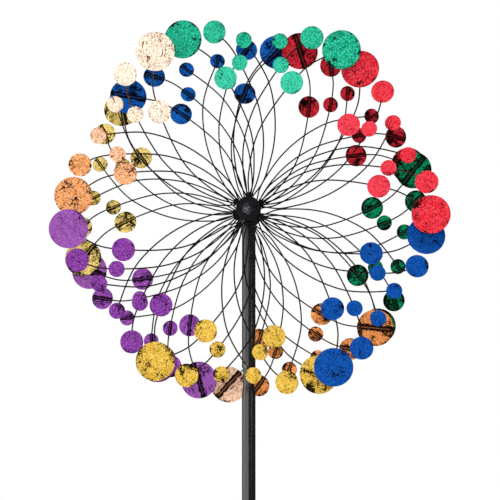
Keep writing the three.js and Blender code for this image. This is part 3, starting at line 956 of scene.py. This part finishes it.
def wheel_hub(end):
    """A ring with a seat for a bearing at each end, a rib between them and the arms' screw holes."""
    node = end + "_hub"
    back, face = station("front_hub")
    rib_from = station("front_inner_bearing")[1] + GAP
    rib_to = station("front_outer_bearing")[0] - GAP
    seat = BEARING_R + GAP
    rib = seat - 2
    chamfer = 1.5
    outline = [(seat, back), (HUB_R - chamfer, back), (HUB_R, back + chamfer), (HUB_R, face),
               (seat, face), (seat, rib_to), (rib, rib_to), (rib, rib_from), (seat, rib_from)]
    profile = eased(outline, 0.5, steps=3)
    obj = turned("fine_" + node, AXLE_FRAME[end], profile, 96, ["hub_paint"], closed=True)
    cutters = []
    for angle, _, _ in ARMS[end].values():
        turn = radians(angle)
        place = AXLE_FRAME[end] @ moved(ARM_SCREW_AT * sin(turn), ARM_SCREW_AT * cos(turn), 0)
        cutters.append(pin("hole", place, SCREW_HOLE_R, face - 9, face + 1))
    combine(obj, cutters, "DIFFERENCE")
    add_piece(obj, node, end + "_wheel")


def curve_through(points, spacing=2.6):
    """Points along a centripetal Catmull-Rom curve."""
    ends = [points[0] * 2 - points[1], *points, points[-1] * 2 - points[-2]]
    path = [points[0]]
    for i in range(1, len(points)):
        p0, p1, p2, p3 = ends[i - 1:i + 3]
        t0, t1, t2 = ((b - a).length ** 0.5 for a, b in ((p0, p1), (p1, p2), (p2, p3)))
        m1 = ((p1 - p0) / t0 - (p2 - p0) / (t0 + t1) + (p2 - p1) / t1) * t1
        m2 = ((p2 - p1) / t1 - (p3 - p1) / (t1 + t2) + (p3 - p2) / t2) * t1
        steps = max(2, round((p2 - p1).length / spacing))
        for k in range(1, steps + 1):
            t = k / steps
            path.append(p1 * (2 * t ** 3 - 3 * t ** 2 + 1) + m1 * (t ** 3 - 2 * t ** 2 + t)
                        + p2 * (3 * t ** 2 - 2 * t ** 3) + m2 * (t ** 3 - t ** 2))
    return path


class Arm(Shape):
    """One arm of a wheel, in its own frame: X across, Y into the wheel, Z out along the arm."""

    def __init__(self, end, colour):
        super().__init__()
        self.end, self.colour = end, colour
        angle, self.left, self.right = ARMS[end][colour]
        self.random = random.Random(f"{end} {colour}")
        self.foot = FACING[end] @ (AT_HUB @ rotated(angle, "Y")) @ moved(0, TAB_DEPTH, 0)
        self.leaning = (self.foot @ moved(0, 0, TAB_BEND) @ rotated(DISH, "X")
                        @ rotated(-PITCH[end], "Z") @ moved(0, 0, -TAB_BEND))

    def bent(self, at, bend, side, depth):
        share = (at[1] / RING_R) ** 2
        return Vector((side * (at[0] + share * bend[0]), depth, at[1] + share * bend[1]))

    def round_bar(self, path, sizes, tints, sides, seed):
        """A bar along a path in the arm's plane, with half-widths across it and in depth."""
        rings, run = [], 0.0
        for i, here in enumerate(path):
            ahead = path[min(i + 1, len(path) - 1)] - path[max(i - 1, 0)]
            across = Vector((ahead.z, 0, -ahead.x)).normalized()
            if i:
                run += (here - path[i - 1]).length
            wide, deep = sizes[i]
            ring = []
            for angle in circle(sides):
                place = here + across * (wide * cos(angle)) + Vector((0, deep * sin(angle), 0))
                mark = marked((WIRE_R * angle, run, seed), tint=tints[i])
                ring.append(self.point(self.leaning @ place, mark))
            rings.append(ring)
        self.bar(rings, 1)

    def wire(self, side, bend, route):
        """A wire on its side of the tab, with the discs it carries and its weld."""
        depth = -side * (TAB_THICKNESS / 2 + WIRE_R - WELD)
        carried = [stop for stop in route if isinstance(stop, str)]
        stops = [DISCS[stop][:2] if stop in carried else stop for stop in route]
        path = curve_through([self.bent(at, bend, side, depth) for at in stops])
        centres = {name: self.bent(DISCS[name][:2], bend, side, depth) for name in carried}
        seed = self.random.uniform(0, 400)
        end_r = 0.6 * WIRE_R
        sizes = [(WIRE_R, WIRE_R)] * len(path)
        sizes[0] = sizes[-1] = (end_r, end_r)
        tints = [self.spray(here, centres) for here in path]
        self.round_bar(path, sizes, tints, WIRE_SIDES, seed)
        for name, centre in centres.items():
            nearest = min(range(len(path)), key=lambda k: (path[k] - centre).length)
            along = (path[nearest + 1] - path[nearest - 1]).normalized()
            self.disc(side, bend, name, along, depth)
        self.weld_to_tab(path, seed)

    def spray(self, here, centres):
        """How much of the arm's colour is on the wire: across its own discs in full, a painted highlight
        tinted by the disc; near them a little overspray; none near the hub.
        """
        slight = PAINTS[self.colour]["spray"]
        result = 0.0
        for name, centre in centres.items():
            beyond = (here - centre).length - DISCS[name][2]
            # Across its own disc the wire takes the disc's colour in full: a painted highlight.
            highlight_across_disc = min(1.0, max(0.0, -beyond / WIRE_HIGHLIGHT_EDGE))
            near = slight * min(1.0, max(0.0, 1 - beyond / SPRAY_REACH))
            result = max(result, highlight_across_disc, near)
        return result

    def weld_to_tab(self, path, seed):
        """A wider, uneven run of weld over the wire's end on the tab."""
        limit = TAB_WIDTH / 2 + 2
        near = [place for place in path if place.z < TAB_OUTER - 1 and abs(place.x) < limit]
        sizes = [(WELD_HALF + 0.3 * noise.noise(place * 0.9), 1.0) for place in near]
        self.round_bar(near, sizes, [0.0] * len(near), BEAD_SIDES, seed)

    def disc(self, side, bend, name, along, wire_depth):
        """A thin disc on the front of its wire, slightly domed and uneven, and its solder fillet."""
        across, out, radius = DISCS[name]
        seed = self.random.uniform(0, 900)
        roll = radians(self.random.uniform(-DISC_ROLL, DISC_ROLL))
        nod = radians(self.random.uniform(-DISC_NOD, DISC_NOD))
        depth = wire_depth - WIRE_R - DISC_THICKNESS / 2 + WELD
        centre = self.bent((across, out), bend, side, depth)
        sideways = Vector((along.z, 0, -along.x))
        lean = Matrix.Rotation(roll, 4, along) @ Matrix.Rotation(nod, 4, sideways)
        half = DISC_THICKNESS / 2
        band_half = 1.5 + 0.08 * radius
        # How strong the disc's painted highlight is.
        painted_highlight = self.painted_highlight_share(side, name)
        sides = 64 if radius > 20 else 48 if radius > 15 else 40
        front = [(share * radius, -half) for share in DISC_ROWS]
        front += [(radius - inset, -half + drop) for inset, drop in DISC_EDGE]
        rows = [(distance, level, 0.0) for distance, level in front]
        rows += [(distance, -level, 1.0) for distance, level in reversed(front)]
        rings = []
        for distance, level, back in rows:
            ring = []
            for angle in circle(sides if distance > 0 else 1):
                u, v = distance * cos(angle), distance * sin(angle)
                uneven = DISC_UNEVEN * noise.noise(Vector((u * 0.11, v * 0.11, seed)))
                dome = DISC_DOME * (distance / 29) ** 2
                place = sideways * u + along * v + Vector((0, level + uneven + dome, 0))
                mark = marked((u, v, seed), distance / radius, back, u / band_half, painted_highlight)
                ring.append(self.point(self.leaning @ (centre + lean @ place), mark))
            rings.append(ring)
        self.skin(rings, 0)
        self.fillet(centre, along, half, radius, seed)

    def fillet(self, centre, along, half, radius, seed):
        """A rounded, uneven run of solder between the disc's back and its wire."""
        reach = FILLET_SHARE * radius
        count = max(8, round(reach / 0.9))
        path, sizes = [], []
        for k in range(count + 1):
            v = reach * (2 * k / count - 1)
            path.append(centre + along * v + Vector((0, half, 0)))
            end = sqrt(max(0.06, 1 - (v / reach) ** 4))
            uneven = 0.55 * noise.noise(Vector((v * 0.35, seed, 3.0)))
            sizes.append(((FILLET_HALF + uneven) * end, FILLET_HEIGHT * end))
        self.round_bar(path, sizes, [0.0] * len(path), BEAD_SIDES, seed)

    def painted_highlight_share(self, side, name):
        """How strong a disc's painted highlight is, from 0 to 1: a lighter tone painted where the lamps'
        reflection would fall.
        """
        large = name == "large"
        across = side * DISCS[name][0]
        rules = {
            "front copper": min(1.0, max(0.0, COPPER_HIGHLIGHT + across / COPPER_HIGHLIGHT_FADE)),
            "rear copper": 0.6 if large and side < 0 else 0.0,
            "front purple": 0.55 if large and side > 0 else 0.1,
            "rear purple": 0.5 if large else 0.2,
            "front green": HIGHLIGHTED_DISCS[name],
            "front red": HIGHLIGHTED_DISCS[name],
        }
        return rules.get(f"{self.end} {self.colour}", 0.0)

    def foot_edge(self, angle, inset):
        """How far the tab's flat foot reaches from its screw hole in a direction."""
        c, s = cos(angle), sin(angle)
        sideways = (TAB_WIDTH / 2 - inset) / max(abs(c), TINY)
        end = TAB_BEND - 2 - ARM_SCREW_AT if s > 0 else ARM_SCREW_AT - TAB_INNER - inset
        return min(sideways, end / max(abs(s), TINY))

    def foot_plate(self):
        """The tab's flat foot with its screw hole."""
        half, sides = TAB_THICKNESS / 2, 56
        near = [(inset, -half + drop) for inset, drop in PLATE_EDGE]
        rings = []
        for inset, level in near + [(inset, -level) for inset, level in reversed(near)]:
            ring = []
            for angle in circle(sides):
                reach = SCREW_HOLE_R if inset is None else self.foot_edge(angle, inset)
                place = Vector((reach * cos(angle), level, ARM_SCREW_AT + reach * sin(angle)))
                ring.append(self.point(self.foot @ place, PLAIN))
            rings.append(ring)
        self.skin(rings, 1, closed=True)

    def bent_end(self):
        """The tab's outer end, bent to the arm's lean, that carries the wires."""
        section = eased([(-1, -1), (1, -1), (1, 1), (-1, 1)], 0.35, steps=3)
        rings = []
        for height, width, lean in TAB_TAPER:
            ring = []
            for x, y in section:
                place = Vector((x * TAB_WIDTH / 2 * width, y * TAB_THICKNESS / 2, height))
                place = (self.foot @ place).lerp(self.leaning @ place, lean)
                ring.append(self.point(place, PLAIN))
            rings.append(ring)
        self.bar(rings, 1)

    def build(self, screw):
        for side, bent in ((-1, self.left), (1, self.right)):
            for name, route in WIRES.items():
                self.wire(side, bent[name], route)
        self.foot_plate()
        self.bent_end()
        node = f"{self.end}_arm_{self.colour}"
        body = self.end + "_wheel"
        obj = make_object("fine_" + node, self, ["paint_" + self.colour, "wire_" + self.colour])
        add_piece(obj, node, body, crease=40)
        screw_at = self.foot @ moved(0, -TAB_DEPTH, ARM_SCREW_AT) @ QUARTER_TURN
        add_screw(screw, f"{self.end}_arm_screw_{self.colour}", screw_at, body)


def wheels():
    tip, top = station("front_arm_screw_green")
    head_height = 1.8
    screw = screw_mesh("arm_screw", 2.6, top - head_height, head_height, tip, drive=1.35)
    for end in FACING:
        wheel_hub(end)
        bearing(end, "inner")
        bearing(end, "outer")
        for colour in PAINTS:
            Arm(end, colour).build(screw)


# ---- studio


WHITE, COOL, WARM = (1, 1, 1), (0.93, 0.95, 1.0), (1.0, 0.78, 0.6)
SOFTBOXES = {  # place and size in metres, power in watts, colour, and whether surfaces reflect it
    "key": ((0.3, -2.8, 2.55), 0.5, 16),
    "front_fill": ((-1.4, -3.0, 0.8), 2.4, 26),
    "beside_camera": ((0.0, -2.7, 1.32), 0.5, 38, WHITE, False),
    "left_side": ((-2.7, -0.6, 1.3), 2.0, 26, COOL),
    "right_side": ((2.4, -1.8, 1.2), 0.5, 3, WARM),
    "back_fill": ((0.4, 3.0, 2.4), 1.2, 48),
}
FLOOR_R, FLOOR_GAP = 2.2, 0.001  # metres


def softbox(name, at, size, power, colour=WHITE, reflected=True):
    """A square light that faces the hub."""
    data = bpy.data.lights.new(name, "AREA")
    data.shape = "SQUARE"
    data.size = size
    data.energy = power
    data.color = colour
    obj = scene_object(name, data)
    obj.location = at
    aim = Vector((0, 0, HUB_HEIGHT * MM)) - Vector(at)
    obj.rotation_euler = aim.to_track_quat("-Z", "Y").to_euler()
    obj.visible_camera = False
    obj.visible_glossy = reflected


def pale_floor():
    """A round floor just under the prongs."""
    mesh = bpy.data.meshes.new("floor")
    work = bmesh.new()
    bmesh.ops.create_circle(work, cap_ends=True, segments=96, radius=FLOOR_R)
    work.to_mesh(mesh)
    work.free()
    mesh.transform(moved(0, 0, cad_box[0][2] - FLOOR_GAP))
    g = Graph("floor", metallic=0.0)
    grain = g.noise(g.place(), 30.0, 3, 0.6)
    tone = g.mix(g.step(grain, 0.35, 0.7), srgb("#e9e9e9"), srgb("#f2f2f1"))
    mesh.materials.append(g.finish(tone, g.range(grain, 0.75, 0.85), grain, bump_mm=0.2))
    floor = scene_object("floor", mesh)


def surround():
    """White behind the spinner. Its light is dim, and stronger from the left."""
    world = bpy.data.worlds.new("surround")
    world.use_nodes = True
    world.node_tree.nodes.clear()
    new, link = world.node_tree.nodes.new, world.node_tree.links.new
    split = new("ShaderNodeSeparateXYZ")
    link(new("ShaderNodeTexCoord").outputs["Generated"], split.inputs[0])
    fade = new("ShaderNodeMapRange")
    link(split.outputs["X"], fade.inputs["Value"])
    for key, value in (("From Min", -0.2), ("From Max", 0.0), ("To Min", 0.48), ("To Max", 0.08)):
        fade.inputs[key].default_value = value
    strength = new("ShaderNodeMix")
    link(new("ShaderNodeLightPath").outputs["Is Camera Ray"], strength.inputs[0])
    link(fade.outputs[0], strength.inputs[2])
    strength.inputs[3].default_value = 1.0
    background = new("ShaderNodeBackground")
    background.inputs["Color"].default_value = (1, 1, 1, 1)
    link(strength.outputs[0], background.inputs["Strength"])
    link(background.outputs[0], new("ShaderNodeOutputWorld").inputs[0])
    bpy.context.scene.world = world
    bpy.context.scene.view_settings.view_transform = "Standard"


def studio():
    pale_floor()
    surround()
    for name, setting in SOFTBOXES.items():
        softbox(name, *setting)


CAMERA_TILT, CAMERA_TURN = 4.031, -0.416  # degrees up, degrees to the right
CAMERA_RIGHT, CAMERA_AWAY, CAMERA_BELOW_HUB = 0.0199, 2.4648, 0.2329  # metres
CAMERA_LENS, CAMERA_FILM = 114.12, 36


def camera():
    """At the photograph's viewing angle: straight on, a little under the hub, looking slightly up."""
    tilt, turn = radians(CAMERA_TILT), radians(CAMERA_TURN)
    level = cos(tilt)
    forward = Vector((sin(turn) * level, cos(turn) * level, sin(tilt)))
    data = bpy.data.cameras.new("camera")
    data.sensor_width = CAMERA_FILM
    data.lens = CAMERA_LENS
    obj = scene_object("camera", data)
    obj.location = (CAMERA_RIGHT, -CAMERA_AWAY, HUB_HEIGHT * MM - CAMERA_BELOW_HUB)
    obj.rotation_euler = forward.to_track_quat("-Z", "Y").to_euler()
    bpy.context.scene.camera = obj


# ---- the whole spinner

camera()
ground_stake()
pole_section("lower_pole", ["stake_screw", "lower_joint_screw"])
pole_section("middle_pole", ["lower_joint_screw", "upper_joint_screw"])
upper_pole()
head_tee()
pole_screws()
axle()
axle_end("front")
axle_end("rear")
wheels()
studio()
